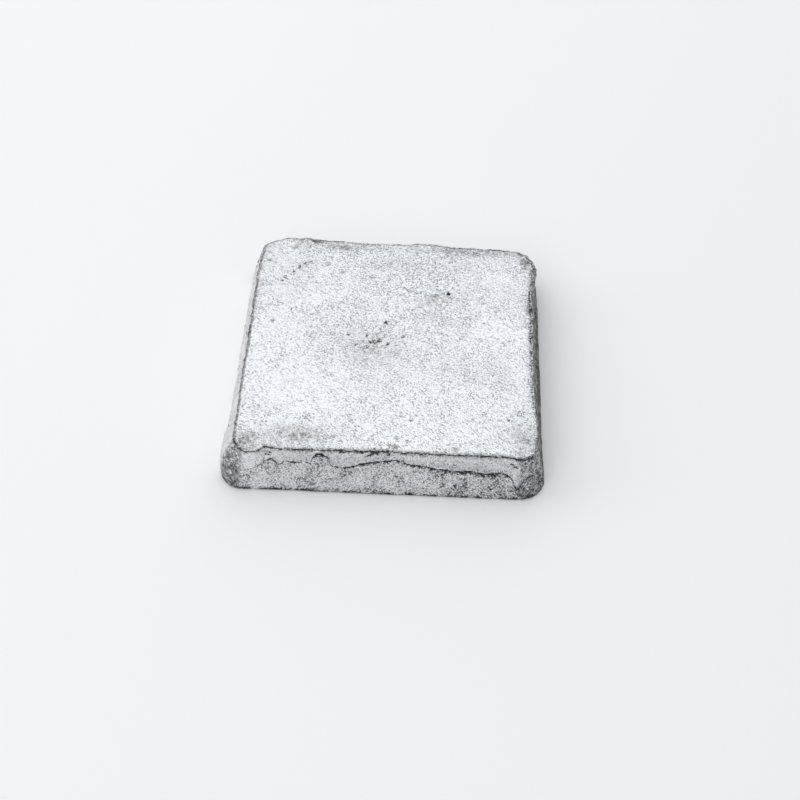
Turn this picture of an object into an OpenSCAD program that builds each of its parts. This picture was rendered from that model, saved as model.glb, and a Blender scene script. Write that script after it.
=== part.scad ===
// Square cast metal ingot, shown as it lies: wide face down, mould-floor face up.
// Origin at the middle of the resting face, +Z up, millimetres.

/* [Casting] */
// Overall side, at its widest just above the resting face
side = 84.5; // [60:0.5:120]
// Height from the resting face to the upper face
height = 13; // [8:0.5:18]
// Lean of the walls in degrees, which lets the casting leave its mould
draft = 16; // [3:1:18]
// Plan radius of the four corners at their widest
corner_r = 7.5; // [7:0.5:20]

/* [Edges] */
// Radius of the edge round the upper face
top_edge_r = 0.8; // [0.3:0.1:2]
// Radius of the edge round the resting face
base_edge_r = 0.6; // [0.3:0.1:3]

/* [Lap seam] */
// Width of the seam where it opens in the wall
seam_width = 0.8; // [0.4:0.1:1.6]
// Depth of the seam below the wall
seam_depth = 0.5; // [0.2:0.1:1.2]
// Share of its width and depth that the seam keeps round the corners
seam_corner = 0.7; // [0.4:0.05:0.9]
// Height of the seam round the corners, as a share of the ingot's height
seam_level = 0.5; // [0.4:0.02:0.6]

/* [Hidden] */
$fn = 96;

// The walls stand on a square through the corners' centres, at this distance from the middle
corner_at = side / 2 - corner_r;
// From a corner's centre to where the wall would meet the floor if its lower edge were sharp
toe_r = corner_r + base_edge_r * (tan(draft) + 1 / cos(draft) - 1);
// Flats that make up a rounded edge
edge_steps = 8;
// How far a cutter starts outside the surface that it cuts
overcut = 0.3;
// How far the seam across a wall runs on into the corners, so that it joins the seam round them
seam_run_on = 1;
// Half the length of the seam across a wall
seam_reach = corner_at + seam_run_on;

// The wavy line where two flows of metal met and did not quite weld, along one wall.
// Each point is [share of the seam's length across the wall, share of the ingot's height].
seam_route = [
    [0, seam_level], [0.03, 0.55], [0.09, 0.75], [0.115, 0.63], [0.135, 0.71], [0.23, 0.65],
    [0.245, 0.84], [0.295, 0.83], [0.31, 0.65], [0.35, 0.59], [0.465, 0.75], [0.57, 0.82],
    [0.59, 0.73], [0.77, 0.61], [0.95, 0.58], [1, seam_level]
];

// Distance of the wall's surface from a corner's centre at a given height
function wall_at(z) = toe_r - z * tan(draft);

// One lip of the seam in the wall's own plane, as [along the wall, up its slope] points
function seam_lip(rise) =
    [for (p = seam_route) [(2 * p[0] - 1) * seam_reach, p[1] * height / cos(draft) + rise]];
// The same points from the far end back
function reversed(points) = [for (i = [len(points) - 1 : -1 : 0]) points[i]];

// Points of a rounded edge whose flat face lies at face_z and looks up (1) or down (-1), from start to end
function rounded_edge(r, face_z, looks, start, end) =
    let (level = face_z - looks * r, centre = [wall_at(level) - r / cos(draft), level])
    [for (i = [0 : edge_steps]) let (a = start + (end - start) * i / edge_steps) centre + r * [cos(a), sin(a)]];

// Upright section of a wall, from a corner's centre out to the drafted surface
module wall_section() {
    polygon(concat(
        [[0, 0]],
        rounded_edge(base_edge_r, 0, -1, -90, draft),
        rounded_edge(top_edge_r, height, 1, draft, 90),
        [[0, height]]
    ));
}

// The bare casting: a core with four straight walls and four conical corners round it
module casting() {
    translate([-corner_at, -corner_at, 0]) cube([2 * corner_at, 2 * corner_at, height]);
    for (turn = [0 : 3]) rotate(90 * turn) {
        translate([corner_at, corner_at, 0])
            rotate([90, 0, 0]) linear_extrude(2 * corner_at) wall_section();
        translate([corner_at, corner_at, 0])
            rotate_extrude(angle = 90) wall_section();
    }
}

// The seam across one straight wall, in that wall's plane: X along it, Y into it, Z up its slope
module wall_seam() {
    translate([0, seam_depth, 0]) rotate([90, 0, 0]) linear_extrude(seam_depth + overcut)
        polygon(concat(seam_lip(-seam_width / 2), reversed(seam_lip(seam_width / 2))));
}

// The seam round one corner, at one height: it follows the cone of the wall and is finer there
module corner_seam() {
    z = seam_level * height;
    width = seam_corner * seam_width;
    depth = seam_corner * seam_depth;
    rotate_extrude(angle = 90) translate([wall_at(z), z]) rotate(draft)
        translate([-depth, -width / 2]) square([depth + overcut, width]);
}

// The seam right round the ingot, with its course mirrored on alternate walls
module lap_seam() {
    for (turn = [0 : 3]) rotate(90 * turn) {
        translate([0, -corner_at - toe_r, 0]) rotate([-draft, 0, 0])
            mirror([turn % 2, 0, 0]) wall_seam();
        translate([corner_at, corner_at, 0]) corner_seam();
    }
}

module ingot() {
    color([0.80, 0.81, 0.83]) difference() {
        casting();
        lap_seam();
    }
}

ingot();
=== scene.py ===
"""Looks of a square cast metal ingot lying on a pale floor.

One dense mesh stands for the whole casting: a sandy upper face, drafted walls with a wavy lap seam,
ragged edges and crumpled corners. Lengths are in millimetres here and become metres when the mesh is made.
A noise is called with points, the size of its features in millimetres, and a seed.
"""
import itertools
import math

import bpy
import numpy as np
from mathutils import Matrix, Vector


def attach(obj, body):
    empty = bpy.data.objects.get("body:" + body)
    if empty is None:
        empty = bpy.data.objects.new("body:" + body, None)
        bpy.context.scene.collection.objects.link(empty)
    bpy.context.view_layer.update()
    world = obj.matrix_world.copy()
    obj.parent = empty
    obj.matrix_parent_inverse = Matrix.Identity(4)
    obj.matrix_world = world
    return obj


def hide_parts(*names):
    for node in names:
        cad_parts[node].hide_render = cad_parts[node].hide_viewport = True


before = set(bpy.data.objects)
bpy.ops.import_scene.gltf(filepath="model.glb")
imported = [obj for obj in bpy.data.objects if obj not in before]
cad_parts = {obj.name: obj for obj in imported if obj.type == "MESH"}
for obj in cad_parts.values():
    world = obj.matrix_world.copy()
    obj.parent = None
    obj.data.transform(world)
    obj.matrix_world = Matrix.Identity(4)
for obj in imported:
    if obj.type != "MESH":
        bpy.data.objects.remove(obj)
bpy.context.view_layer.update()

MM = 0.001

# The casting's driving sizes, the same as in the part's source
SIDE = 84.5
HEIGHT = 13.0
DRAFT = math.radians(16)
CORNER_R = 7.5
TOP_EDGE_R = 0.8
BASE_EDGE_R = 0.6
SEAM_LEVEL = 0.5
SEAM_RUN_ON = 1

# From them: the corners' centres, the wall's toe if it were sharp, and half the seam's length across a wall
CORNER_AT = SIDE / 2 - CORNER_R
TOE_R = CORNER_R + BASE_EDGE_R * (math.tan(DRAFT) + 1 / math.cos(DRAFT) - 1)
SEAM_REACH = CORNER_AT + SEAM_RUN_ON

# How finely the mesh is divided: cells along each straight wall and along half of each corner
STRAIGHT_CELLS = 192
ARC_CELLS = 14
SIDE_CELLS = STRAIGHT_CELLS + 2 * ARC_CELLS
# The base has one cell for every four of the walls
BASE_STEP = 4
BASE_CELLS = SIDE_CELLS // BASE_STEP

# Depths and heights of the relief
TOP_FALL = 0.16  # how far the upper face falls away at its edges
HEADROOM = 0.14  # how far its plain level lies under the casting's height, so that its grain stays inside
FOOT_TUCK = 0.22  # how far the foot is tucked in from the casting's widest line
LIP_RISE = 0.10  # how far the seam's upper lip stands out
UNDERCUT = 0.12  # how far the wall lies back just below the seam
LINE_DEPTH = 0.20  # depth of the dark line under the upper edge
BOX_CLEARANCE = 0.005  # how far the mesh stays inside the casting's box
BASE_LIFT = 0.05  # how far the base lies off the floor, on average
BASE_SHARE = 0.985  # the base's side, as a share of the side of the walls' lowest row

# The four walls in turn, anticlockwise from above
FRONT, RIGHT, BACK, LEFT = range(4)


def wall_at(z):
    """Distance of the plain wall from a corner's centre at height z."""
    return TOE_R - z * math.tan(DRAFT)


# Noise

def smooth(lo, hi, x):
    """0 at lo and 1 at hi, with a soft step between them, whichever is the greater."""
    t = np.clip((x - lo) / (hi - lo), 0, 1)
    return t * t * (3 - 2 * t)


def hashed(cell, seed):
    """A number from 0 to 1 for each integer cell (n, 3). The large constants only mix the bits."""
    c = (cell.astype(np.int64) & 0xFFFFFFFF).astype(np.uint64)
    mask = np.uint64(0xFFFFFFFF)
    h = c[..., 0] * np.uint64(374761393)
    h = h + c[..., 1] * np.uint64(668265263) + c[..., 2] * np.uint64(1274126177)
    h = (h + np.uint64(seed) * np.uint64(2654435761)) & mask
    h = ((h ^ (h >> np.uint64(15))) * np.uint64(2246822519)) & mask
    h = ((h ^ (h >> np.uint64(13))) * np.uint64(3266489917)) & mask
    h = h ^ (h >> np.uint64(16))
    return (h & np.uint64(0xFFFFFF)).astype(float) / 0xFFFFFF


def hashed_point(cell, seed):
    """Three such numbers for each cell."""
    return np.stack([hashed(cell, seed + k) for k in range(3)], 1)


def noise(p, size, seed):
    """Smooth noise from about -1 to 1 at points p (n, 3), with features about as long as size."""
    q = p / size
    base = np.floor(q)
    f = q - base
    w = f * f * f * (f * (f * 6 - 15) + 10)
    out = np.zeros(len(p))
    for step in itertools.product((0, 1), repeat=3):
        slope = hashed_point(base + step, 3 * seed) * 2 - 1
        share = np.prod(np.where(step, w, 1 - w), 1)
        out += share * np.sum(slope * (f - step), 1)
    widened = 1.6
    return out * widened


def layered(p, size, seed, octaves, gain=0.5):
    """Noise with finer and finer layers."""
    out = np.zeros(len(p))
    for k in range(octaves):
        out += gain ** k * noise(p, size / 2 ** k, seed + 17 * k)
    return out


def pitted(p, size, seed, share):
    """Round pits scattered in a share of the cells of space: 1 at the middle of a pit, 0 outside."""
    q = p / size
    base = np.floor(q)
    out = np.zeros(len(p))
    for step in itertools.product((-1, 0, 1), repeat=3):
        cell = base + step
        reach = 0.10 + 0.18 * hashed(cell, seed + 3)  # each pit's radius, as a share of its cell
        there = hashed(cell, seed + 4) < share
        far = np.sqrt(np.sum((q - cell - hashed_point(cell, seed)) ** 2, 1)) / reach
        out = np.maximum(out, np.where(there, np.clip(1 - far * far, 0, 1), 0))
    return out


def crumpled(p, size, seed):
    """Flat facets about as wide as size: their height from about -1 to 1, and a shade from 0 to 1."""
    q = p / size
    base = np.floor(q)
    nearest = np.full(len(p), np.inf)
    height, shade = np.zeros(len(p)), np.zeros(len(p))
    for step in itertools.product((-1, 0, 1), repeat=3):
        cell = base + step
        off = q - cell - hashed_point(cell, seed)
        far = np.sum(off * off, 1)
        closer = far < nearest
        nearest = np.where(closer, far, nearest)
        tilt = hashed_point(cell, seed + 3) * 2 - 1
        height = np.where(closer, np.sum(tilt * off, 1), height)
        shade = np.where(closer, hashed(cell, seed + 6), shade)
    return height, shade


# Stations round the casting

def stations():
    """Each station's point on the square of corner centres, and the way out from it."""
    half = math.pi / 4
    points, ways = [], []
    for i in range(ARC_CELLS):
        a = -math.pi / 2 - half + half * i / ARC_CELLS
        points.append((-CORNER_AT, -CORNER_AT))
        ways.append((math.cos(a), math.sin(a)))
    for i in range(STRAIGHT_CELLS + 1):
        points.append((CORNER_AT * (2 * i / STRAIGHT_CELLS - 1), -CORNER_AT))
        ways.append((0.0, -1.0))
    for i in range(1, ARC_CELLS):
        a = -math.pi / 2 + half * i / ARC_CELLS
        points.append((CORNER_AT, -CORNER_AT))
        ways.append((math.cos(a), math.sin(a)))
    points, ways = np.array(points), np.array(ways)
    turn = np.array([[0.0, 1.0], [-1.0, 0.0]])
    all_points, all_ways = [], []
    for _ in range(4):
        all_points.append(points)
        all_ways.append(ways)
        points, ways = points @ turn, ways @ turn
    return np.concatenate(all_points), np.concatenate(all_ways)


POINTS, WAYS = stations()
COUNT = len(POINTS)
WALL = np.arange(COUNT) // SIDE_CELLS
# Distance along each wall from its middle, measured along the outline at half height
ARC = wall_at(HEIGHT / 2) * math.pi / 4
ALONG = np.tile(
    np.concatenate([
        -CORNER_AT - ARC * (1 - np.arange(ARC_CELLS) / ARC_CELLS),
        np.linspace(-CORNER_AT, CORNER_AT, STRAIGHT_CELLS + 1),
        CORNER_AT + ARC * np.arange(1, ARC_CELLS) / ARC_CELLS,
    ]), 4)
# Where each station stands at half height, to give it its own noise
HERE = np.concatenate([POINTS + WAYS * wall_at(HEIGHT / 2), np.zeros((COUNT, 1))], 1)
# The halves of the walls that meet at each front corner
FRONT_LEFT = ((WALL == FRONT) & (ALONG < 0)) | ((WALL == LEFT) & (ALONG > 0))
FRONT_RIGHT = ((WALL == FRONT) & (ALONG > 0)) | ((WALL == RIGHT) & (ALONG < 0))
# 1 in the middle of a corner, 0 along the walls; at the front left it begins further round
CORNER_BEGINS = CORNER_AT + np.where(FRONT_LEFT, 0.3, -2.0)
CORNERNESS = smooth(0, 3.5, np.abs(ALONG) + 1.2 * noise(HERE, 3.0, 50) - CORNER_BEGINS)
# How strongly the corners are creased and darkened with painted shade, a little less at the front right
CREASING = CORNERNESS * np.where(FRONT_RIGHT, 0.8, 1.0)


def course(points_by_wall):
    """A value at every station, from each wall's [place along it, value] points."""
    out = np.zeros(COUNT)
    for wall, points in points_by_wall.items():
        out += np.where(WALL == wall, np.interp(ALONG, *zip(*points)), 0)
    return out


# The lap seam

# On the front wall it follows these [across, up] points
FRONT_SEAM = [
    (-37.0, 6.3), (-33.8, 6.4), (-32.2, 7.5), (-30.0, 8.7), (-28.4, 9.7), (-26.7, 8.2), (-25.9, 8.2),
    (-25.1, 9.3), (-23.6, 9.0), (-20.6, 8.8), (-19.3, 9.1), (-18.6, 8.6), (-17.9, 10.5), (-17.0, 11.2),
    (-16.0, 11.5), (-14.8, 11.0), (-13.9, 10.5), (-13.5, 8.8), (-13.0, 8.3), (-10.4, 7.8), (-8.2, 8.2),
    (-5.1, 9.1), (-2.4, 9.5), (2.4, 10.1), (4.7, 10.4), (6.0, 9.3), (8.3, 9.2), (12.1, 8.7), (14.2, 8.4),
    (18.7, 7.9), (22.3, 8.2), (25.9, 7.5), (29.9, 8.0), (31.3, 7.8), (32.8, 6.8), (33.7, 4.4), (34.5, 2.6),
    (35.1, 4.8), (35.8, 6.3), (37.9, 7.2), (39.3, 6.5),
]
# Half its width there, [across, half width]: a fine zigzag on the left, a coarse dark line on the right
FRONT_SEAM_WIDTH = [
    (-37, 0.10), (-28, 0.22), (-19, 0.21), (-17.6, 0.23), (-16.8, 0.30), (-15.4, 0.28), (-14.6, 0.21),
    (-13, 0.22), (-10, 0.26), (-6, 0.34), (5, 0.34), (8, 0.42), (28, 0.46), (32, 0.24), (34.5, 0.34),
    (36, 0.34), (39, 0.32),
]
# On the other walls it follows the part's own route: shares of the length across the wall and of the height
WALL_SEAM = [
    (0, SEAM_LEVEL), (0.03, 0.55), (0.09, 0.75), (0.115, 0.63), (0.135, 0.71), (0.23, 0.65),
    (0.245, 0.84), (0.295, 0.83), (0.31, 0.65), (0.35, 0.59), (0.465, 0.75), (0.57, 0.82),
    (0.59, 0.73), (0.77, 0.61), (0.95, 0.58), (1, SEAM_LEVEL),
]


def seam_height():
    """Height of the seam at every station. Its course is mirrored on alternate walls."""
    front = np.interp(ALONG, *zip(*FRONT_SEAM))
    share = (ALONG / SEAM_REACH + 1) / 2
    share = np.where(WALL % 2 == 1, 1 - share, share)
    plain = np.interp(share, *zip(*WALL_SEAM)) * HEIGHT
    line = np.where(WALL == FRONT, front, plain)
    return line + 0.12 * noise(HERE, 1.3, 41) + 0.16 * noise(HERE, 0.75, 42) * (1 - CORNERNESS)


def seam_half_width():
    """Half the seam's width at every station, ragged and finer round the corners."""
    front = np.interp(ALONG, *zip(*FRONT_SEAM_WIDTH))
    plain = 0.20 + 0.10 * noise(HERE, 6.0, 43)
    wide = np.where(WALL == FRONT, front, plain) * (1 - 0.3 * CORNERNESS)
    return np.clip(wide * (1 + 0.3 * noise(HERE, 1.5, 44) + 0.45 * noise(HERE, 0.8, 49)), 0.06, 0.7)


SEAM = seam_height()
SEAM_HALF = seam_half_width()
# 1 under the arched notch of the front wall's seam
NOTCH = np.where(WALL == FRONT, smooth(-17.9, -16.9, ALONG) * (1 - smooth(-15.3, -14.4, ALONG)), 0)

# Edges of the walls

# Where the upper edge stands out from the plain casting or in from it, wall by wall
UPPER_EDGE = course({
    FRONT: [(-39.3, -0.4), (-37, 0.3), (-35, 1.0), (-33.3, 1.0), (-31.8, 0.7), (-31.1, 0.3), (-30.2, -0.95),
            (-29.2, -0.85), (-28.4, -0.45), (-20, -0.35), (-12, -0.55), (1, -0.9), (6, -0.7), (15, -0.55),
            (25, -0.75), (32, -0.6), (34, -0.1), (39.3, 0.1)],
    RIGHT: [(-39.3, 0.1), (-33, 0.05), (-31, 0.3), (-27, 0.3), (-17, 0.0), (-5, -0.1), (3, 0.25), (10, 0.2),
            (20, 0.2), (25, 0.8), (28, 1.2), (31, 1.5), (33, 1.2), (34.7, 0.5), (36.2, -0.2), (39.3, -0.6)],
    BACK: [(-39.3, -0.6), (-37.5, -0.8), (-33.5, -0.4), (-30, 0.1), (-17, 0.2), (-11.5, 1.1), (-6, 1.3),
           (-4.5, 0.7), (5, 0.5), (11, 0.4), (15, 1.0), (21, 1.0), (25, 1.7), (31, 1.4), (34, 0.2),
           (36, -0.5), (39.3, -0.9)],
    LEFT: [(-39.3, -0.9), (-33.8, -1.1), (-28.5, -0.4), (-20, -0.25), (-6, -0.4), (2, -0.4), (10, -0.2),
           (30, -0.2), (36.5, -0.4), (39.3, -0.4)],
}) + 0.10 * noise(HERE, 8.0, 51)
# Its small rags, most of them on the right
UPPER_RAGGEDNESS = np.choose(WALL, (0.6, 2.2, 1.3, 1.2))
UPPER_RAGS = (0.16 * noise(HERE, 2.4, 52) + 0.14 * noise(HERE, 1.1, 53)) * UPPER_RAGGEDNESS

# The same for the foot of the walls, which is most ragged on the left
FOOT_RAGGEDNESS = np.where(WALL == LEFT, 1.0, 0.3)
FOOT_RAGS = (0.30 * noise(HERE, 3.5, 54) + 0.20 * noise(HERE, 1.5, 62)) * FOOT_RAGGEDNESS
FOOT = FOOT_RAGS + course({
    FRONT: [(-39.3, 0.8), (-36, 0.5), (-34, 0.1), (35, 0), (39.3, 0)],
    RIGHT: [(-39.3, 0), (-35, -0.25), (-25, -0.4), (-5, -0.4), (5, -0.3), (25, -0.15), (33, -0.3),
            (39.3, -0.5)],
    BACK: [(-39.3, -0.5), (-30, 0), (30, 0), (39.3, -0.6)],
    LEFT: [(-39.3, -0.6), (-34, -0.9), (-20, -0.4), (0, -0.25), (25, 0), (36, 0.5), (39.3, 0.8)],
})

# How far the walls bulge half way up, by the front left corner
BULGE = course({
    LEFT: [(25.5, 0), (28, 0.8), (34, 0.9), (39.3, 0.5)],
    FRONT: [(-39.3, 0.5), (-36, 0)],
})
# Half the thickness of the dark line of oxide and painted shade under the upper edge; there is none where
# this is below zero
EDGE_LINE = course({
    FRONT: [(-39.3, 0.20), (0, 0.24), (39.3, 0.22)],
    RIGHT: [(-39.3, 0.16), (-36, -0.2), (36, -0.2), (39.3, 0.06)],
    BACK: [(-39.3, 0.16), (39.3, 0.16)],
    LEFT: [(-39.3, 0.16), (-33, 0.22), (39.3, 0.22)],
})
# How dark the rounded upper edge is with oxide
RIM = course({
    FRONT: [(-39.3, 0.40), (-30, 0.25), (30, 0.25), (39.3, 0.40)],
    RIGHT: [(-39.3, 0.45), (-30, 0.55), (10, 0.65), (39.3, 0.65)],
    BACK: [(-39.3, 0.65), (-33, 0.65), (0, 0.58), (18, 0.60), (22, 0.80), (27, 0.70), (32, 0.50),
           (39.3, 0.60)],
    LEFT: [(-39.3, 0.60), (-30, 0.50), (-20, 0.32), (39.3, 0.40)],
})
# How strong a grey line runs along it at the front and the left
RIM_LINE = course({
    FRONT: [(-39.3, 0.9), (-36, 0.6), (-34, 0.5), (39.3, 0.5)],
    LEFT: [(-39.3, 0.5), (-30, 0.8), (-15, 0.95), (39.3, 1.0)],
})
# How strongly the wall is smeared with oxide below the upper edge
SMEARS = course({
    FRONT: [(-39.3, 0), (-30, 0.3), (-14, 0.3), (-11, 1.6), (-7, 1.2), (-4, 1.6), (1, 1.5), (4, 1.0),
            (6, 0.3), (12, 0.5), (17, 0.3), (30, 0.5), (33, 0)],
    RIGHT: [(-39.3, 0), (-33, 0.9), (33, 0.9), (39.3, 0.3)],
    BACK: [(-39.3, 0.3), (39.3, 0.3)],
    LEFT: [(-39.3, 0.3), (39.3, 0.1)],
})

# Rows up the walls

# Steps round the lower and the upper edge
BASE_STEPS = 5
TOP_STEPS = 4
# Plain rows below and above the seam, and the distances of close rows from the seam and the upper edge
LOWER_ROWS = 15
UPPER_ROWS = 9
SEAM_ROWS = (-0.62, -0.42, -0.27, -0.14, -0.04, 0.06, 0.18, 0.32, 0.50)
EDGE_ROWS = (0.62, 0.42, 0.24, 0.09)
# How far the plain rows keep from the seam, below and above it, and from the upper edge
BELOW_SEAM, ABOVE_SEAM, BELOW_EDGE = 0.85, 0.75, 0.85
# The upper rows draw closer where the seam comes nearer to the upper edge than this
FULL_ROOM = 3.2
# The heights between which the wall is straight
WALL_LOW = BASE_EDGE_R * (1 + math.sin(DRAFT))
WALL_HIGH = HEIGHT - TOP_EDGE_R * (1 - math.sin(DRAFT))


def edge_rows(r, level, start, turn, steps, rows):
    """Rows round an edge of radius r about this level, from an angle on."""
    middle = wall_at(level) - r / math.cos(DRAFT)
    for i in range(rows):
        a = start + turn * i / steps
        yield [np.full(COUNT, v) for v in (middle + r * math.cos(a), level + r * math.sin(a), a)]


def wall_rows():
    """Distance out, height and lean of the outward normal, for each row from the floor to the top."""
    right_angle = math.pi / 2
    squeeze = np.minimum(1, (WALL_HIGH - SEAM) / FULL_ROOM)
    lo, hi = SEAM + ABOVE_SEAM * squeeze, WALL_HIGH - BELOW_EDGE * squeeze
    heights = [WALL_LOW + (SEAM - BELOW_SEAM - WALL_LOW) * i / LOWER_ROWS for i in range(1, LOWER_ROWS + 1)]
    heights += [SEAM + rise * (squeeze if rise > 0 else 1) for rise in SEAM_ROWS]
    heights += [lo + (hi - lo) * i / (UPPER_ROWS - 1) for i in range(UPPER_ROWS)]
    heights += [WALL_HIGH - drop * squeeze for drop in EDGE_ROWS]
    rows = [
        *edge_rows(BASE_EDGE_R, BASE_EDGE_R, -right_angle, right_angle + DRAFT, BASE_STEPS, BASE_STEPS + 1),
        *([wall_at(z), z, np.full(COUNT, DRAFT)] for z in heights),
        *edge_rows(TOP_EDGE_R, HEIGHT - TOP_EDGE_R, DRAFT, right_angle - DRAFT, TOP_STEPS, TOP_STEPS),
    ]
    return np.array(rows).transpose(1, 0, 2)


OUT, UP, LEAN = wall_rows()
ROWS = len(UP)
# At every point of the walls, row after row: height, distance below the upper edge and above the seam, lean
HIGH = UP.ravel()
BELOW_TOP = WALL_HIGH - HIGH
OFF_SEAM = (UP - SEAM).ravel()
TILT = LEAN.ravel()
# 1 where the rounded upper edge meets the upper face, near 0 on the walls
TOPNESS = np.clip(np.sin(TILT), 0, 1) ** 2
# 1 where the rounded lower edge meets the base, 0 on the walls
BASENESS = smooth(0.0, 0.9, -TILT / (math.pi / 2))


def each(values):
    """The stations' values at every point of the walls."""
    return np.tile(values, ROWS)


# Pits and marks that the photograph shows

# Dark pits of the upper face: [across, away, radius, depth, darkness]
TOP_PITS = [
    (-3.0, 0.4, 0.65, 0.40, 0.53), (-5.3, -0.4, 0.40, 0.30, 0.60), (-4.4, -0.1, 0.45, 0.25, 0.42),
    (-6.4, 1.9, 0.36, 0.35, 0.85), (-11.4, 2.0, 0.32, 0.30, 0.62), (-9.1, -1.5, 0.32, 0.25, 0.60),
    (3.5, 2.1, 0.34, 0.35, 0.64), (-0.6, -1.0, 0.32, 0.35, 0.64), (-3.3, 3.1, 0.42, 0.30, 0.44),
    (-5.8, -2.2, 0.45, 0.25, 0.5), (-1.5, 7.4, 0.38, 0.40, 0.8), (-0.9, 6.8, 0.30, 0.35, 0.8),
    (-3.6, 0.0, 0.55, 0.35, 0.53), (-4.0, -0.6, 0.35, 0.25, 0.42), (-2.4, 1.2, 0.40, 0.25, 0.40),
    (15.6, 19.4, 0.46, 0.60, 1.0), (15.8, 18.0, 0.28, 0.35, 0.60), (11.9, 18.3, 0.40, 0.25, 0.5),
    (31.6, -26.1, 0.36, 0.35, 0.8), (6.7, -27.5, 0.42, 0.35, 0.52), (5.9, -34.6, 0.42, 0.30, 0.50),
    (15.7, -37.3, 0.55, 0.20, 0.34), (-32.3, 6.3, 0.50, 0.25, 0.42), (-31.0, 22.2, 0.36, 0.20, 0.50),
    (-30.4, 23.9, 0.42, 0.20, 0.48), (-28.2, 26.0, 0.36, 0.20, 0.62), (-27.1, 27.5, 0.36, 0.20, 0.50),
    (-26.6, 28.3, 0.34, 0.20, 0.46), (-25.2, 29.5, 0.34, 0.20, 0.46), (-24.1, 30.1, 0.36, 0.20, 0.55),
    (-23.4, 30.2, 0.34, 0.20, 0.42),
]
# Wide, shallow grey ones: [across, away, radius, depth, dullness]
TOP_SPOTS = [
    (3.1, -33.6, 0.60, 0.25, 0.684), (3.0, -36.4, 0.70, 0.25, 0.81), (18.2, -36.5, 0.70, 0.20, 0.54),
    (-13.8, 36.6, 0.95, 0.30, 0.81), (-18.8, 29.5, 0.65, 0.20, 0.81), (-14.5, 26.4, 0.60, 0.15, 0.648),
    (-28.8, 36.4, 0.95, 0.15, 0.576), (-35.4, 30.1, 0.70, 0.15, 0.54),
]
# Duller, rougher areas of the upper face: [across, away, half length, half width, darkness]
TOP_ZONES = [
    (-22, -34, 8.5, 2.8, 0.60), (-35.0, -36.5, 4.0, 3.2, 0.80), (-6, -2.5, 8, 6.0, 0.34),
    (12, 17, 6, 5, 0.26), (6, 31, 16, 5, 0.16), (-15, 37, 14, 2.6, 0.40), (22, 37.5, 16, 2.4, 0.60),
    (37.3, 34.2, 2.4, 4.0, 0.70), (39.2, 14, 1.9, 6.0, 1.3), (39.8, 27, 1.7, 6, 0.9),
    (38.2, -8, 0.9, 14, 0.6), (36, -33, 4.5, 5.5, 0.55), (-37.5, 22, 1.4, 16, 0.30),
    (25, -12, 6, 4, 0.14), (-37, 36, 4, 4, 0.30), (-23, 39.0, 5, 1.5, 0.8), (-29, 29, 12, 10, 0.15),
    (36.4, 37.0, 1.8, 1.3, 1.2), (38.4, 34.3, 1.3, 1.8, 1.2), (40.0, 30.5, 1.4, 2.6, 1.1),
]
# Brighter, smoother areas: [across, away, half length, half width, share of the grain taken away]
TOP_CALM = [
    (-26, -18, 12, 12, 0.60), (28, 4, 9, 9, 0.50), (28, 26, 8, 6, 0.45), (-24, 20, 14, 12, 0.65),
    (30, -20, 8, 8, 0.40), (-32, 31, 6, 6, 0.95), (-32, 2, 8, 14, 0.60), (-12, -12, 12, 8, 0.35),
]
# Cracks, dashes and hollows of the front wall: [across, up, to across, to up, half width, depth, darkness]
WALL_MARKS = [
    (32.2, 10.7, 34.0, 9.5, 0.26, 0.20, 1.1), (-30.2, 11.3, -28.4, 11.2, 0.22, 0.08, 0.80),
    (-29.9, 10.5, -28.6, 10.5, 0.22, 0.08, 0.80), (14.5, 3.8, 15.3, 3.4, 0.26, 0.25, 0.9),
    (3.0, 5.9, 3.9, 6.2, 0.26, 0.20, 0.7), (34.2, 3.8, 35.1, 1.6, 0.75, 0.35, 0.60),
    (-10.2, 6.0, -9.8, 5.9, 0.26, 0.20, 0.7), (21.0, 6.6, 22.0, 6.4, 0.28, 0.20, 0.6),
    (17.5, 9.8, 18.6, 9.8, 0.20, 0.12, 0.55), (-9.7, 10.3, -9.0, 10.4, 0.24, 0.15, 0.6),
]


# Relief of the upper face

def areas_at(p, areas):
    """The strongest of several soft-edged areas at each point."""
    out = np.zeros(len(p))
    for x, y, half_length, half_width, strength in areas:
        far = ((p[:, 0] - x) / half_length) ** 2 + ((p[:, 1] - y) / half_width) ** 2
        out = np.maximum(out, strength * np.exp(-far))
    return out


def pits_at(p, pits):
    """For each listed pit: how near its middle each point is, from 0 to 1, and the pit's depth and stain."""
    flat = p * (1, 1, 0)
    # The outlines wander, and fade out a little beyond the radius
    x, y = (p[:, k] + 0.35 * noise(flat, 1.0, 11 + k) for k in range(2))
    for px, py, r, depth, stain in pits:
        off = np.sqrt((x - px) ** 2 + (y - py) ** 2) / (1.2 * r + 0.10)
        yield np.clip(1 - off * off, 0, 1), depth, stain


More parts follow.
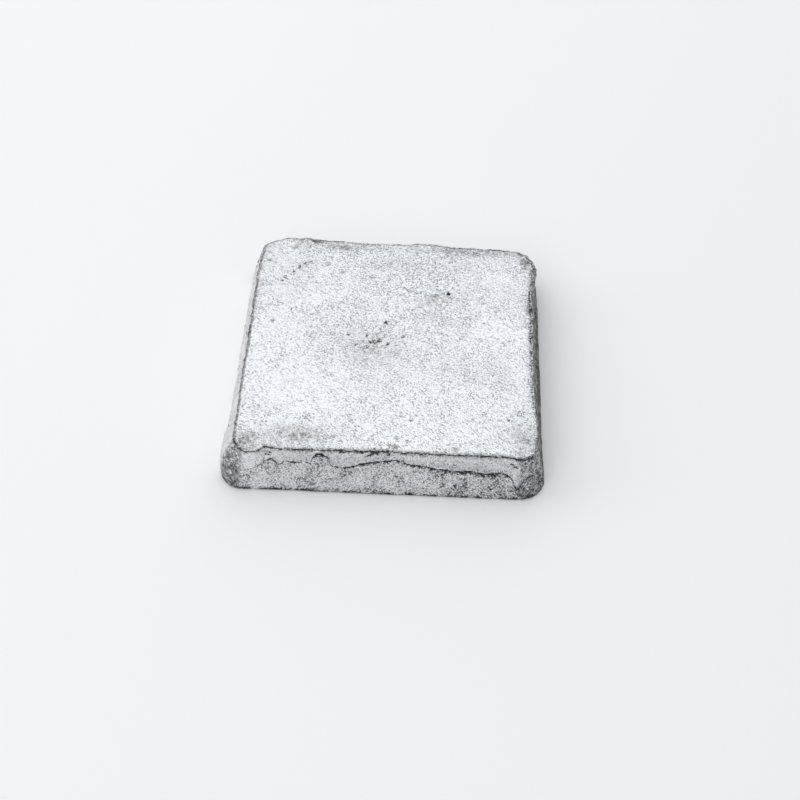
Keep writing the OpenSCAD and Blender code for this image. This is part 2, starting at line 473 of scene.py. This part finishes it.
def top_relief(p):
    """The upper face: how far it stands above its plain level, how dark, how rough and how dull it is."""
    flat = p * (1, 1, 0)
    half_side = 38
    # Rougher, more pitted and darker towards the back and a little towards the right
    slope = (0.9 * p[:, 1] + 0.2 * p[:, 0]) / half_side
    rough = smooth(-0.9, 1.1, 0.8 * layered(flat, 22, 7, 2) + slope)
    zone = areas_at(p, TOP_ZONES)
    calm = areas_at(p, TOP_CALM)
    rise = 0.10 * layered(flat, 24, 1, 2) + 0.030 * layered(flat, 3.2, 2, 2)
    rise += (0.026 + 0.022 * rough + 0.06 * zone) * layered(flat, 1.15, 3, 2, 0.7)

    scattered = pitted(flat, 2.2, 60, 0.18 + 0.25 * rough)
    dimples = pitted(flat, 6.5, 80, 0.45)
    rise -= 0.16 * scattered + 0.18 * dimples
    dark = np.maximum(0.52 * scattered, 0.40 * np.sqrt(dimples))
    for near, depth, stain in pits_at(p, TOP_PITS):
        rise -= depth * near
        dark = np.maximum(dark, np.clip(1.35 * stain * np.sqrt(near), 0, 1))
    blotched = smooth(-0.6, 0.6, 0.7 * noise(flat, 2.4, 9) + 0.7 * noise(flat, 1.0, 10))
    dark = np.maximum(dark, 0.48 * zone * blotched + 0.06 * rough)
    dull = zone * (0.45 + 0.55 * blotched)
    for near, depth, stain in pits_at(p, TOP_SPOTS):
        rise -= depth * near
        dull = np.maximum(dull, stain * np.sqrt(near))
    return rise, dark, rough * (1 - calm) - calm + 1.6 * zone, dull


def filled_square(ring, cells):
    """Grid of points inside a ring of 4 * cells points that starts at a corner and runs anticlockwise."""
    t = np.linspace(0, 1, cells + 1)
    front = ring[0:cells + 1]
    right = ring[cells:2 * cells + 1]
    back = ring[2 * cells:3 * cells + 1][::-1]
    left = np.concatenate([ring[3 * cells:], ring[:1]])[::-1]
    s, v = t[None, :, None], t[:, None, None]
    flat = (1 - v) * front[None] + v * back[None] + (1 - s) * left[:, None] + s * right[:, None]
    flat -= (1 - s) * (1 - v) * front[0] + s * (1 - v) * front[-1] + (1 - s) * v * back[0] + s * v * back[-1]
    return flat.reshape(-1, 2)


def upper_face():
    """Points of the upper face, and the material's fields at each."""
    out = wall_at(HEIGHT - TOP_EDGE_R) - TOP_EDGE_R / math.cos(DRAFT) + UPPER_EDGE + UPPER_RAGS
    xy = filled_square(POINTS + WAYS * out[:, None], SIDE_CELLS)
    top = np.concatenate([xy, np.full((len(xy), 1), HEIGHT)], 1)
    rise, dark, rough, dull = top_relief(top)

    # It falls away a little towards its edges
    i, j = np.divmod(np.arange(len(top)), SIDE_CELLS + 1)
    cells_in = np.minimum(np.minimum(i, SIDE_CELLS - i), np.minimum(j, SIDE_CELLS - j))
    edge = cells_in * 2 * CORNER_AT / STRAIGHT_CELLS
    rise -= TOP_FALL * np.exp(-edge / 1.2)
    top[:, 2] += rise - HEADROOM

    # It is worn dark along the right and the back, and has a grey line along the left
    worn = smooth(25, 37, top[:, 0]) * smooth(-30, 5, top[:, 1])
    at_back = smooth(36, 38, top[:, 1])
    band = np.exp(-edge / (0.5 + 0.9 * worn))
    band *= np.clip(0.22 + 0.4 * worn + 0.38 * at_back + 0.5 * noise(top, 3.0, 39), 0, 1)
    at_left = smooth(-34, -37, top[:, 0]) * smooth(-38.5, -36.5, top[:, 1]) * smooth(38, 34, top[:, 1])

    top[:, 2] = np.clip(top[:, 2], 0, HEIGHT)
    none = np.zeros(len(top))
    return top, {
        "oxide_and_shade": np.maximum(dark, band),
        "wall": none,
        "corner": none,
        "calm": none,
        "rough": rough,
        "dull": np.maximum(dull, at_left * np.exp(-edge / 0.45)),
    }


# Relief of the walls

def plain_walls():
    """Points of the walls before their relief, and the way out from each."""
    share = smooth(6.0, 12.5, UP)
    out = OUT + UPPER_EDGE * share + FOOT * (1 - share) + UPPER_RAGS * smooth(10.0, 12.5, UP)
    out += BULGE * smooth(0.5, 3.0, UP) * smooth(12.0, 8.5, UP)
    points = np.concatenate([POINTS + WAYS * out[..., None], UP[..., None]], 2)
    ways = np.concatenate([WAYS * np.cos(LEAN)[..., None], np.sin(LEAN)[..., None]], 2)
    return points.reshape(-1, 3), ways.reshape(-1, 3)


def wall_relief(p, cornerness):
    """How far the walls stand out from their plain level, how dark with oxide and, at the corners, with
    painted dark reflections, and how rough they are.
    """
    rough = smooth(-0.3, 0.7, layered(p, 5.0, 28, 2))
    rise = 0.16 * layered(p, 16, 21, 2) + 0.06 * layered(p, 2.6, 22, 2) + 0.030 * layered(p, 0.9, 23, 2, 0.7)
    scattered = pitted(p, 1.6, 74, 0.25 + 0.35 * rough)
    rise -= 0.16 * scattered
    dark = 0.72 * np.sqrt(scattered)
    slanted = np.stack([p[:, 0] + 0.5 * p[:, 2], p[:, 1] - 0.5 * p[:, 2], 0.7 * p[:, 2]], 1)
    folds, shade = crumpled(slanted, 1.5, 24)
    rise += cornerness * (0.24 * folds + 0.12 * noise(p, 1.0, 26))
    # Painted dark reflections on some of the corners' facets
    dark = np.maximum(dark, cornerness * (0.05 + 0.34 * smooth(0.55, 0.95, shade)))
    return rise, dark, rough


def lumps(p):
    """How far the lumps of the walls stand out: most on the left and the right, none at the front."""
    share = each(np.choose(WALL, (0, 0.8, 0.5, 1)) * (1 - 0.6 * CORNERNESS))
    share = share * smooth(0.5, 2.0, HIGH) * (1 - TOPNESS)
    return share * (0.20 * noise(p, 2.0, 58) + 0.14 * noise(p, 0.9, 59))


def lap_seam():
    """Rise and darkness of the lap seam: a sharp crease with a proud upper lip, wider under the notch. Its
    darkness is partly oxide in the crease and partly painted shadow under the lip.
    """
    below = each(SEAM_HALF * (1 + 0.3 * noise(HERE, 0.8, 45)) + 0.30 * NOTCH)
    above = each(SEAM_HALF * 0.75)
    t = np.abs(np.where(OFF_SEAM < 0, OFF_SEAM / below, OFF_SEAM / above))
    strength = 0.70 + 0.45 * noise(HERE, 1.8, 32) + 0.35 * noise(HERE, 0.7, 31)
    strength = strength + 0.6 * SEAM_HALF + 0.4 * NOTCH
    strength = each(np.clip(strength, np.where(SEAM_HALF > 0.25, 0.8, 0.55), 1.0))
    depth = each(0.14 + 0.6 * SEAM_HALF + 0.3 * NOTCH) * smooth(0.2, 0.9, strength)
    rise = -depth * np.clip(1 - t, 0, 1) ** 1.2
    rise += LIP_RISE * np.exp(-((OFF_SEAM - 0.5) / 0.45) ** 2) * (OFF_SEAM > 0)
    rise -= UNDERCUT * smooth(-3.0, -0.3, OFF_SEAM) * (OFF_SEAM <= 0)
    # Oxide and painted shadow, wider below the seam than above it
    dark = strength * np.clip(1.2 - np.where(OFF_SEAM < 0, 0.5, 0.75) * t, 0, 0.88)
    return rise, dark


def wall_marks():
    """How deep and how dark the front wall's cracks and hollows are."""
    along = each(ALONG)
    deep, dark = np.zeros(len(along)), np.zeros(len(along))
    for x0, z0, x1, z1, half, depth, stain in WALL_MARKS:
        run, climb = x1 - x0, z1 - z0
        share = ((along - x0) * run + (HIGH - z0) * climb) / (run ** 2 + climb ** 2)
        share = np.clip(share, 0, 1)
        off = np.hypot(along - x0 - share * run, HIGH - z0 - share * climb) / half
        near = np.clip(1.2 - off, 0, 1)
        deep = np.maximum(deep, depth * near)
        dark = np.maximum(dark, stain * np.sqrt(near))
    on_front = each(WALL == FRONT)
    return deep * on_front, dark * on_front


def edge_line():
    """How strong the ragged dark line under the upper edge is, thick in places: oxide in its groove and
    painted shade under the edge.
    """
    path = each(0.04 + 0.20 * noise(HERE, 1.0, 33) + 0.12 * noise(HERE, 4.0, 34))
    thick = each(np.clip(EDGE_LINE + 0.10 * noise(HERE, 5.0, 35) + 0.18 * noise(HERE, 0.8, 36), 0.04, 0.45))
    return np.clip(1.3 - np.abs(BELOW_TOP - path) / thick * 0.8, 0, 1) * smooth(0.04, 0.10, thick)


def smears(p):
    """How dark the smears below the upper edge are."""
    strength = each(SMEARS * np.clip(0.8 + 0.8 * noise(HERE, 1.6, 37), 0, 1.2))
    near = np.exp(-((BELOW_TOP - 0.6) / 0.85) ** 2)
    return near * strength * np.clip(0.38 + 0.9 * noise(p, 0.9, 38), 0, 0.9)


def painted_foot_shade(p):
    """How dark the painted shade at the foot of the walls is."""
    near = np.exp(-(np.clip(HIGH - 0.2, 0, None) / 1.25) ** 2)
    return near * np.clip(0.72 + 0.7 * layered(p, 2.0, 46, 2), 0.2, 1)


def lower_band(p):
    """How dark the band below the seam is: blotched with oxide, and darker towards the right with painted
    shade.
    """
    blotch = smooth(-0.2, 0.7, layered(p, 4.5, 47, 3))
    return (0.06 + 0.26 * blotch + 0.20 * smooth(5, 25, p[:, 0])) * smooth(0.3, -0.3, OFF_SEAM)


def rounded_rim(p):
    """How dark and knotty the rounded upper edge is."""
    knots = np.clip(1 + 0.9 * noise(p, 2.2, 55) + 0.5 * noise(p, 0.9, 56), 0.2, 1.8)
    return each(RIM) * knots * np.clip((math.pi / 2 - TILT) / 0.5, 0.4, 1)


def painted_shades(p):
    """Painted shade: an even grey on the right wall standing in for a dark reflection, a painted shadow under
    the front's upper edge, and a darker front left corner.
    """
    right = each((WALL == RIGHT) * (1 - CORNERNESS)) * (1 - TOPNESS ** 2)
    right = right * np.clip(0.68 + 0.5 * layered(p, 2.2, 40, 3), 0.25, 0.95)
    front = 0.30 * each(WALL == FRONT) * np.exp(-(BELOW_TOP / 0.9) ** 2) * (1 - TOPNESS)
    left = 0.24 * each(CORNERNESS * FRONT_LEFT) * (1 - TOPNESS)
    return np.maximum.reduce([right, front, left])


def walls():
    """Points of the walls and their rounded edges, and the material's fields at each."""
    plain, ways = plain_walls()
    corner = each(CORNERNESS)
    rise, dark, rough = wall_relief(plain, corner)
    top_rise, top_dark, top_rough, top_dull = top_relief(plain)
    seam_rise, seam_dark = lap_seam()
    mark_depth, mark_dark = wall_marks()
    line = edge_line()
    rim_line = each(RIM_LINE * (1 + 0.3 * noise(HERE, 4.0, 57))) * np.exp(-((TILT - 0.90) / 0.40) ** 2)

    # The walls keep clear of the casting's widest line, and their relief passes into that of the upper face
    rise -= FOOT_TUCK * np.exp(-((HIGH - 0.6) / 2.2) ** 2)
    rise = rise * (1 - TOPNESS) * (1 - BASENESS) + (top_rise - TOP_FALL - HEADROOM) * TOPNESS
    rise += lumps(plain) + seam_rise - mark_depth - LINE_DEPTH * line
    points = plain + ways * rise[:, None]
    limit = SIDE / 2 - BOX_CLEARANCE
    points[:, :2] = np.clip(points[:, :2], -limit, limit)
    points[:, 2] = np.clip(points[:, 2], 0, HEIGHT)

    # Oxide and painted shade on the walls, less of it above the seam
    calm = smooth(0.2, 0.8, OFF_SEAM) * (1 - corner) * (1 - line)
    bands = [smears(plain), painted_foot_shade(plain), lower_band(plain)]
    dark = np.maximum.reduce([dark, seam_dark, 0.92 * line, *bands])
    dark = dark * (1 - 0.25 * calm * (BELOW_TOP > 0.6))
    dark = np.maximum(dark, mark_dark)

    # Oxide on the rounded upper edge, with some of the dark line's oxide and painted shade
    rounded = np.maximum.reduce([top_dark, rounded_rim(plain), 0.30 * np.clip(line + 0.3, 0, 1)])
    rim_dark = 0.56 * rim_line
    dark = np.maximum(dark * (1 - TOPNESS) + rounded * TOPNESS, rim_dark)

    # The left wall is brighter, with painted light in its colour: it keeps the seam, the rim's line and a few
    # patches
    bright = each((WALL == LEFT) * (1 - CORNERNESS)) * (1 - TOPNESS)
    patches = 0.8 * smooth(0.40, 0.65, noise(plain, 1.1, 61))
    kept = np.maximum.reduce([rim_dark, seam_dark, patches, 0.4 * dark])

    return points, {
        "oxide_and_shade": dark * (1 - bright) + kept * bright,
        "wall": 1 - TOPNESS,
        "corner": each(CREASING) * (1 - TOPNESS),
        "calm": calm,
        # On the left wall the rough field falls below zero, which brings in the painted light
        "rough": (rough - bright) * (1 - TOPNESS) + top_rough * TOPNESS,
        "dull": np.maximum.reduce([top_dull * np.sqrt(TOPNESS), painted_shades(plain), rim_line]),
    }


# The base and the mesh

# The material's fields all over the base
BASE_FIELDS = {"oxide_and_shade": 0.25, "wall": 1.0, "corner": 0.0, "calm": 0.0, "rough": 0.5, "dull": 0.0}


def base_face(foot):
    """Points of the base: a plain face inside the walls' lowest row, just off the floor."""
    xy = filled_square(foot[::BASE_STEP, :2] * BASE_SHARE, BASE_CELLS)
    base = np.concatenate([xy, np.zeros((len(xy), 1))], 1)
    base[:, 2] = BASE_LIFT + BASE_LIFT * noise(base, 6, 48)
    return base


def grid_ring(cells):
    """Flat index in a (cells + 1) square grid of each ring point, in the same order as the ring."""
    n = cells + 1
    i = np.arange(cells)
    return np.concatenate([i, i * n + cells, cells * n + cells - i, (cells - i) * n])


def grid_faces(first, cells):
    """Quads of a (cells + 1) square grid whose first point has this index."""
    n = cells + 1
    i, j = np.meshgrid(np.arange(cells), np.arange(cells), indexing="ij")
    a = first + i * n + j
    return np.stack([a, a + 1, a + n + 1, a + n], 2).reshape(-1, 4)


def all_faces(top_at, base_at):
    """Quads of the walls, the upper face and the base, and triangles that join the base to the walls."""
    j = np.arange(COUNT)
    k = (j + 1) % COUNT
    quads = []
    for lo in range(0, (ROWS - 1) * COUNT, COUNT):
        hi = lo + COUNT
        quads.append(np.stack([lo + j, lo + k, hi + k, hi + j], 1))
    last = (ROWS - 1) * COUNT
    ring = top_at + grid_ring(SIDE_CELLS)
    quads.append(np.stack([last + j, last + k, ring[k], ring[j]], 1))
    quads.append(grid_faces(top_at, SIDE_CELLS))
    quads.append(grid_faces(base_at, BASE_CELLS)[:, ::-1])

    coarse = base_at + grid_ring(BASE_CELLS)
    tris = []
    for i in range(len(coarse)):
        a, b = coarse[i], coarse[(i + 1) % len(coarse)]
        f = [(BASE_STEP * i + s) % COUNT for s in range(BASE_STEP + 1)]
        tris += [(f[1], f[0], a), (f[2], f[1], a), (f[2], a, b), (f[3], f[2], b), (f[4], f[3], b)]
    return np.concatenate(quads), np.array(tris)


def make_mesh(name):
    """The whole casting as one object, with the material's fields as attributes."""
    wall_points, wall_fields = walls()
    top_points, top_fields = upper_face()
    base_points = base_face(wall_points[:COUNT])
    points = np.concatenate([wall_points, top_points, base_points])
    top_at = len(wall_points)
    quads, tris = all_faces(top_at, top_at + len(top_points))

    mesh = bpy.data.meshes.new(name)
    mesh.vertices.add(len(points))
    mesh.vertices.foreach_set("co", (points * MM).astype(np.float32).ravel())
    loops = np.concatenate([quads.ravel(), tris.ravel()])
    starts = np.concatenate([np.arange(len(quads)) * 4, len(quads) * 4 + np.arange(len(tris)) * 3])
    mesh.loops.add(len(loops))
    mesh.loops.foreach_set("vertex_index", loops.astype(np.int32))
    mesh.polygons.add(len(starts))
    mesh.polygons.foreach_set("loop_start", starts.astype(np.int32))
    mesh.update(calc_edges=True)
    mesh.validate()
    mesh.polygons.foreach_set("use_smooth", np.ones(len(mesh.polygons), dtype=bool))
    for field, value in BASE_FIELDS.items():
        values = np.concatenate([wall_fields[field], top_fields[field], np.full(len(base_points), value)])
        mesh.attributes.new(field, "FLOAT", "POINT").data.foreach_set("value", values.astype(np.float32))
    ob = bpy.data.objects.new(name, mesh)
    bpy.context.scene.collection.objects.link(ob)
    return ob


# Material

# Tones of the metal: a darker and a paler one for the upper face and for the walls, then what lies over them,
# painted light and painted shade among them
SILVER = ((0.845, 0.864, 0.902, 1), (0.895, 0.913, 0.945, 1))
WALL_GREY = ((0.84, 0.853, 0.88, 1), (0.908, 0.918, 0.938, 1))
PAINTED_LIGHT_WALL = (0.97, 0.975, 0.985, 1)
TARNISH_AND_SHADE = (0.30, 0.293, 0.278, 1)
HOLLOW_SHADE = (0.26, 0.265, 0.275, 1)
PAINTED_CREASE_SHADE = (0.07, 0.072, 0.077, 1)
OXIDE_AND_SHADE = (0.06, 0.06, 0.064, 1)
# Tint of the glancing reflections where the metal is clean and where it is matt
CLEAN_TINT = (1.0, 1.0, 1.0, 1)
MATT_TINT = (0.22, 0.22, 0.22, 1)
# Height of the grain's relief, in metres, and how strongly it shows
GRAIN_DEPTH = 0.00022
GRAIN_STRENGTH = 0.6
# How far the corners' facets stand out beside their own size
FOLD_GAIN = 2.4


class Nodes:
    """Short ways to add nodes to one material and to join them. Scales are features per metre."""

    def __init__(self, name):
        self.material = bpy.data.materials.new(name)
        self.material.use_nodes = True
        self.tree = self.material.node_tree
        self.tree.nodes.clear()
        self.coords = self.add("ShaderNodeTexCoord").outputs["Object"]

    def add(self, kind, **settings):
        """A new node. A setting whose name starts with in_ is the value of that input."""
        node = self.tree.nodes.new(kind)
        for key, value in settings.items():
            if key.startswith("in_"):
                node.inputs[key[3:].replace("_", " ")].default_value = value
            else:
                setattr(node, key, value)
        return node

    def link(self, value, socket):
        """Joins an output to a socket, or sets the socket to a plain value."""
        if isinstance(value, (int, float, tuple)):
            socket.default_value = value
        else:
            self.tree.links.new(value, socket)

    def calc(self, op, a, b):
        node = self.add("ShaderNodeMath", operation=op)
        self.link(a, node.inputs[0])
        self.link(b, node.inputs[1])
        return node.outputs[0]

    def vector(self, op, a, b, result="Vector"):
        node = self.add("ShaderNodeVectorMath", operation=op)
        self.link(a, node.inputs[0])
        self.link(b, node.inputs[1])
        return node.outputs[result]

    def ranged(self, value, lo, hi, a, b):
        """The value's place between lo and hi, carried over to between a and b."""
        limits = {"in_From_Min": lo, "in_From_Max": hi, "in_To_Min": a, "in_To_Max": b}
        node = self.add("ShaderNodeMapRange", clamp=True, **limits)
        self.link(value, node.inputs["Value"])
        return node.outputs["Result"]

    def blend(self, factor, a, b):
        """A number between a and b. A Mix node's sockets go by number, because some share a name."""
        node = self.add("ShaderNodeMix", data_type="FLOAT")
        for k, value in ((0, factor), (2, a), (3, b)):
            self.link(value, node.inputs[k])
        return node.outputs[0]

    def mixed(self, factor, a, b):
        """A colour between a and b."""
        node = self.add("ShaderNodeMix", data_type="RGBA")
        for k, value in ((0, factor), (6, a), (7, b)):
            self.link(value, node.inputs[k])
        return node.outputs[2]

    def field(self, name):
        """One of the mesh's fields."""
        return self.add("ShaderNodeAttribute", attribute_name=name).outputs["Fac"]

    def mirrored(self):
        """Coordinates that are alike at all four corners."""
        node = self.add("ShaderNodeVectorMath", operation="ABSOLUTE")
        self.link(self.coords, node.inputs[0])
        return node.outputs["Vector"]

    def stretched(self, angles, stretch, where):
        """Coordinates turned, and stretched along the turned axes."""
        node = self.add("ShaderNodeMapping", vector_type="TEXTURE", in_Rotation=angles, in_Scale=stretch)
        self.link(where, node.inputs["Vector"])
        return node.outputs["Vector"]

    def grain(self, scale, detail, rough=0.55, where=None):
        node = self.add("ShaderNodeTexNoise", in_Scale=scale, in_Detail=detail, in_Roughness=rough)
        self.link(self.coords if where is None else where, node.inputs["Vector"])
        return node.outputs["Fac"]

    def foil(self, scale, where):
        """Crumpled facets: their tilt, as a height in metres, and a shade for each."""
        cells = self.add("ShaderNodeTexVoronoi", in_Scale=scale)
        self.link(where, cells.inputs["Vector"])
        shade = cells.outputs["Color"]
        off = self.vector("SUBTRACT", where, cells.outputs["Position"])
        tilt = self.vector("SUBTRACT", shade, (0.5, 0.5, 0.5))
        return self.vector("DOT_PRODUCT", off, tilt, "Value"), shade


def sand_grain(n, wall, rough, quiet):
    """The painted shade of the grain's hollows, about a third of a millimetre across, and the grain's height.

    The hollows are hatched where the casting is smooth, and longer and darker where it is rough.
    """
    fine = n.grain(2900, 1, 0.6)
    coarse = n.grain(1250, 2, 0.6)
    strokes = n.grain(2100, 1, 0.5, n.stretched((0, 0, 0.1), (2, 1, 1), n.coords))
    hatch = n.grain(2600, 1, 0.5, n.stretched((0, 0, -0.68), (2.2, 1, 1), n.coords))
    hollow_shade = n.calc("ADD", n.ranged(fine, 0.49, 0.72, 0.0, 0.98), n.ranged(coarse, 0.53, 0.76, 0.0, 0.28))
    hollow_shade = n.calc("MULTIPLY", hollow_shade, n.blend(wall, n.ranged(rough, -0.5, 0.4, 0.80, 0.95), 1.0))
    worked = n.blend(rough, n.ranged(hatch, 0.52, 0.74, 0.0, 0.75), n.ranged(strokes, 0.54, 0.74, 0.0, 0.8))
    hollow_shade = n.calc("ADD", hollow_shade, worked)
    loud = n.blend(wall, n.ranged(rough, -1.0, 2.0, 0.55, 1.70), n.ranged(rough, -1.0, 1.0, 0.1, 1.6))
    loud = n.calc("MULTIPLY", loud, n.ranged(n.grain(250, 2, 0.5), 0.34, 0.66, 0.75, 1.25))
    hollow_shade = n.calc("MINIMUM", n.calc("MULTIPLY", n.calc("MULTIPLY", hollow_shade, loud), quiet), 1.0)
    height = n.calc("MULTIPLY", n.calc("ADD", n.calc("MULTIPLY", fine, 0.5), coarse), quiet)
    return hollow_shade, height


def oxide_specks(n, wall, rough, calm):
    """Small black specks, most of them on the rough parts of the walls."""
    specks = n.ranged(n.grain(1450, 3, 0.75), 0.59, 0.65, 0.0, 1.0)
    specks = n.calc("MAXIMUM", specks, n.ranged(n.grain(860, 2, 0.6), 0.62, 0.68, 0.0, 0.8))
    specks = n.calc("MULTIPLY", specks, n.blend(wall, 0.12, n.ranged(rough, -0.5, 0.8, 0.15, 1.2)))
    return n.calc("MULTIPLY", specks, n.ranged(calm, 0.0, 1.0, 1.0, 0.8))


def ragged_oxide_and_shade(n, oxide_and_shade):
    """Oxide and painted shade, bitten into ragged edges."""
    bite = n.calc("SUBTRACT", n.grain(1900, 2, 0.7), 0.5)
    bite = n.calc("MULTIPLY", bite, n.ranged(oxide_and_shade, 0.0, 0.25, 0.3, 2.4))
    return n.ranged(n.calc("ADD", oxide_and_shade, bite), 0.28, 0.72, 0.0, 1.0)


def crumpled_corners(n, corner):
    """Short creases in two directions over broad facets: how dark they are, as painted shade in the creases
    and painted dark reflections on the facets, and their height.
    """
    mirrored = n.mirrored()
    fold, facet = n.foil(1100.0, n.stretched((0.3, -0.62, -0.79), (2.2, 1, 1), mirrored))
    long_crease = n.grain(1750, 2, 0.6, n.stretched((0.2, -0.62, -0.79), (3.6, 1, 1), mirrored))
    short_crease = n.grain(2400, 2, 0.6, n.stretched((-0.5, 0.35, -0.6), (2.6, 1, 1), mirrored))
    shade = n.ranged(long_crease, 0.515, 0.55, 0.0, 1.0)
    shade = n.calc("MAXIMUM", shade, n.ranged(short_crease, 0.55, 0.59, 0.0, 0.9))
    shade = n.calc("MAXIMUM", shade, n.ranged(facet, 0.52, 0.66, 0.0, 0.5))
    patchy = n.ranged(n.grain(360, 2), 0.40, 0.60, 0.72, 1.0)
    shade = n.calc("MULTIPLY", n.calc("MULTIPLY", shade, corner), patchy)
    height = n.calc("MULTIPLY", fold, FOLD_GAIN / GRAIN_DEPTH)
    height = n.calc("SUBTRACT", height, n.calc("ADD", long_crease, short_crease))
    return shade, n.calc("MULTIPLY", height, corner)


def cast_metal():
    """As cast: a bright sandy upper face, duller walls, crumpled corners, and oxide in the seam and edges,
    with painted light on the left wall and painted shade in the grain's hollows, the creases, the seam, the
    edges, the foot and the right wall.
    """
    n = Nodes("cast_metal")
    oxide_and_shade, wall, corner, calm, rough, dull = (
        n.field(name) for name in ("oxide_and_shade", "wall", "corner", "calm", "rough", "dull"))
    quiet = n.ranged(calm, 0.0, 1.0, 1.0, 0.6)
    hollow_shade, grain_height = sand_grain(n, wall, rough, quiet)
    specks = oxide_specks(n, wall, rough, calm)
    stain_and_shade = ragged_oxide_and_shade(n, oxide_and_shade)
    painted_crease_shade, crease_height = crumpled_corners(n, corner)
    # Tarnish, with the walls' painted shade mixed in through the dull field
    tarnish_and_shade = n.calc("MULTIPLY", dull, n.ranged(n.grain(800, 3, 0.65), 0.36, 0.62, 0.4, 1.9))
    tarnish_and_shade = n.calc("MINIMUM", tarnish_and_shade, 1.0)

    # Each tone lies over the ones before it
    broad = n.ranged(n.grain(70, 2), 0.35, 0.65, 0.0, 1.0)
    colour = n.mixed(wall, n.mixed(broad, *SILVER), n.mixed(broad, *WALL_GREY))
    # Painted light: a paler colour where the walls' rough field is below zero, on the left wall
    painted_light = n.calc("MULTIPLY", n.ranged(rough, -1.0, 0.0, 0.9, 0.0), wall)
    black = n.calc("MAXIMUM", stain_and_shade, specks)
    layers = [
        (painted_light, PAINTED_LIGHT_WALL), (tarnish_and_shade, TARNISH_AND_SHADE), (hollow_shade, HOLLOW_SHADE), (painted_crease_shade, PAINTED_CREASE_SHADE), (black, OXIDE_AND_SHADE),
    ]
    for share, tone in layers:
        colour = n.mixed(share, colour, tone)

    roughness = n.ranged(n.grain(420, 2), 0.3, 0.7, 0.30, 0.44)
    roughness = n.calc("ADD", roughness, n.calc("MULTIPLY", stain_and_shade, 0.25))
    roughness = n.calc("SUBTRACT", roughness, n.calc("MULTIPLY", corner, 0.12))
    tint = n.mixed(n.calc("MAXIMUM", tarnish_and_shade, stain_and_shade), CLEAN_TINT, MATT_TINT)
    bump = n.add("ShaderNodeBump", in_Strength=GRAIN_STRENGTH, in_Distance=GRAIN_DEPTH)
    n.link(n.calc("ADD", grain_height, crease_height), bump.inputs["Height"])

    shader = n.add("ShaderNodeBsdfPrincipled", in_Metallic=1.0)
    n.link(colour, shader.inputs["Base Color"])
    n.link(roughness, shader.inputs["Roughness"])
    n.link(tint, shader.inputs["Specular Tint"])
    n.link(bump.outputs["Normal"], shader.inputs["Normal"])
    end = n.add("ShaderNodeOutputMaterial")
    n.link(shader.outputs["BSDF"], end.inputs["Surface"])
    return n.material


ingot = make_mesh("cast_ingot")
ingot.data.materials.append(cast_metal())
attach(ingot, "root")
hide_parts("ingot")


# Floor, light and camera, in metres

FLOOR_HALF = 3.0
FLOOR_LEVEL = -5e-5  # just under the ingot
FLOOR_COLOUR = (0.95, 0.95, 0.95, 1)
FLOOR_ROUGHNESS = 0.8
FLOOR_SHEEN = 0.2
SKY_COLOUR = (0.95, 0.97, 1.0, 1)
SKY_STRENGTH = 0.32
SENSOR_WIDTH = 36
NEAR, FAR = 0.01, 20


def floor():
    mesh = bpy.data.meshes.new("floor")
    corners = [(-1, -1), (1, -1), (1, 1), (-1, 1)]
    mesh.from_pydata([(FLOOR_HALF * x, FLOOR_HALF * y, FLOOR_LEVEL) for x, y in corners], [], [(0, 1, 2, 3)])
    mat = bpy.data.materials.new("floor")
    mat.use_nodes = True
    shader = mat.node_tree.nodes["Principled BSDF"]
    shader.inputs["Base Color"].default_value = FLOOR_COLOUR
    shader.inputs["Roughness"].default_value = FLOOR_ROUGHNESS
    shader.inputs["Specular IOR Level"].default_value = FLOOR_SHEEN
    mesh.materials.append(mat)
    ob = bpy.data.objects.new("floor", mesh)
    bpy.context.scene.collection.objects.link(ob)


def panel(name, place, size, watts):
    """A square soft light that faces the ingot."""
    light = bpy.data.lights.new(name, "AREA")
    light.shape = "SQUARE"
    light.size = size
    light.energy = watts
    ob = bpy.data.objects.new(name, light)
    ob.location = place
    ob.rotation_mode = "QUATERNION"
    ob.rotation_quaternion = (-Vector(place)).to_track_quat("-Z", "Y")
    bpy.context.scene.collection.objects.link(ob)


def sky():
    """A pale even light from all round."""
    world = bpy.data.worlds.new("studio")
    world.use_nodes = True
    background = world.node_tree.nodes["Background"]
    background.inputs["Color"].default_value = SKY_COLOUR
    background.inputs["Strength"].default_value = SKY_STRENGTH
    bpy.context.scene.world = world


def camera(eye, aim, roll, lens):
    """The photograph's camera, turned by a roll about its line of sight."""
    data = bpy.data.cameras.new("camera")
    data.lens = lens
    data.sensor_width = SENSOR_WIDTH
    data.clip_start, data.clip_end = NEAR, FAR
    forward = (Vector(aim) - Vector(eye)).normalized()
    level = forward.cross(Vector((0, 0, 1))).normalized()
    upright = level.cross(forward)
    right = math.cos(roll) * level + math.sin(roll) * upright
    up = right.cross(forward)
    ob = bpy.data.objects.new("camera", data)
    ob.matrix_world = Matrix((
        (right.x, up.x, -forward.x, eye[0]),
        (right.y, up.y, -forward.y, eye[1]),
        (right.z, up.z, -forward.z, eye[2]),
        (0, 0, 0, 1)))
    bpy.context.scene.collection.objects.link(ob)
    bpy.context.scene.camera = ob


floor()
panel("back_panel", place=(-0.08, 0.62, 0.85), size=2.0, watts=11.0)
panel("front_panel", place=(-0.45, -1.0, 1.0), size=1.2, watts=7.0)
panel("left_panel", place=(-1.3, 0.1, 0.7), size=1.0, watts=4.0)
sky()
camera(eye=(0.00548, -0.2562, 0.28046), aim=(0.00344, -0.0152, 0.0065), roll=math.radians(2.07), lens=61.68)
bpy.context.scene.view_settings.view_transform = "Standard"
